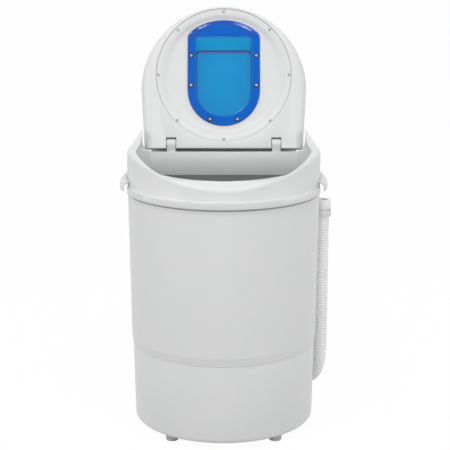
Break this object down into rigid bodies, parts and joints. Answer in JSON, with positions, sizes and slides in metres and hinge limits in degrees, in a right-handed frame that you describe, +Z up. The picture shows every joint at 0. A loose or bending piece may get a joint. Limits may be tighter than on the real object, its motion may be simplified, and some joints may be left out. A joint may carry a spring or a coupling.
{
  "type": "single-tub semi-automatic washing machine",
  "caption": "Compact round single-tub washing machine with a lid that swings up on rear hinges, a pulsator in the tub, side grips and a ribbed drain hose.",
  "frame": {"origin": "on the floor under the tub's axis", "axes": "+Z up, +Y to the rear where the lid hinges, +X to the side with the drain hose"},
  "size_m": [0.3715, 0.349, 0.7243],
  "materials": {
    "white_plastic": "moulded, satin gloss",
    "grey_plastic": "moulded, matt",
    "blue_plastic": "moulded, gloss",
    "blue_window": "clear tinted moulding",
    "hose_plastic": "moulded, matt",
    "black_rubber": "moulded",
    "pale_rubber": "moulded",
    "steel": "zinc plated",
    "grey_painted_metal": "painted",
    "cast_aluminium": "die cast",
    "aluminium_can": "drawn"
  },
  "bodies": {
    "machine": {"rubber_feet": "pale_rubber", "bottom_plate": "grey_plastic", "bottom_screws": "steel", "base_housing": "white_plastic", "cord_gland": "grey_plastic", "wash_tub": "white_plastic", "tub_screws": "steel", "top_cover": "white_plastic", "left_grip": "white_plastic", "right_grip": "white_plastic", "hinge_bracket_left": "white_plastic", "hinge_bracket_right": "white_plastic", "hinge_pins": "steel", "control_panel": "grey_plastic", "panel_screws": "steel", "timer_mechanism": "grey_plastic", "selector_switch": "grey_plastic", "shaft_bearing": "cast_aluminium", "water_seal": "black_rubber", "motor": "grey_painted_metal", "motor_plate": "grey_painted_metal", "motor_grommets": "black_rubber", "motor_bolts": "steel", "capacitor": "aluminium_can", "capacitor_clip": "steel", "drive_belt": "black_rubber", "drain_strainer": "grey_plastic", "drain_pipe": "white_plastic", "hose_clamp": "steel", "drain_hose": "hose_plastic", "hose_cuff": "hose_plastic", "hose_clip": "white_plastic"},
    "lid": {"lid_frame": "white_plastic", "lid_shell": "white_plastic", "splash_disc": "white_plastic", "lid_window": "blue_window", "disc_screws": "steel", "window_screws": "steel"},
    "pulsator_drive": {"pulsator": "white_plastic", "pulsator_screw": "steel", "drive_shaft": "steel", "tub_pulley": "cast_aluminium", "shaft_nut": "steel"},
    "rotor": {"motor_shaft": "steel", "motor_pulley": "cast_aluminium", "rotor_core": "steel"},
    "timer": {"timer_knob": "blue_plastic", "timer_spindle": "steel"},
    "selector": {"selector_knob": "blue_plastic", "selector_spindle": "steel"}
  },
  "joints": [
    {"name": "lid_hinge", "type": "hinge", "parent": "machine", "child": "lid", "pos_m": [0, 0.078, 0.4877], "axis": [1, 0, 0], "range_deg": [0, 112.9]},
    {"name": "pulsator_spin", "type": "hinge", "parent": "machine", "child": "pulsator_drive", "pos_m": [0, 0, 0.15], "axis": [0, 0, 1], "continuous": true},
    {"name": "motor_spin", "type": "hinge", "parent": "machine", "child": "rotor", "pos_m": [-0.082, 0, 0.08], "axis": [0, 0, 1], "continuous": true},
    {"name": "timer_turn", "type": "hinge", "parent": "machine", "child": "timer", "pos_m": [0.042, 0.1375, 0.527], "axis": [0, 0, 1], "range_deg": [-300, 0]},
    {"name": "selector_turn", "type": "hinge", "parent": "machine", "child": "selector", "pos_m": [-0.042, 0.1375, 0.527], "axis": [0, 0, 1], "range_deg": [-45, 45]}
  ],
  "couplings": [
    {"joint": "motor_spin", "follows": "pulsator_spin", "ratio": 4.9806}
  ]
}
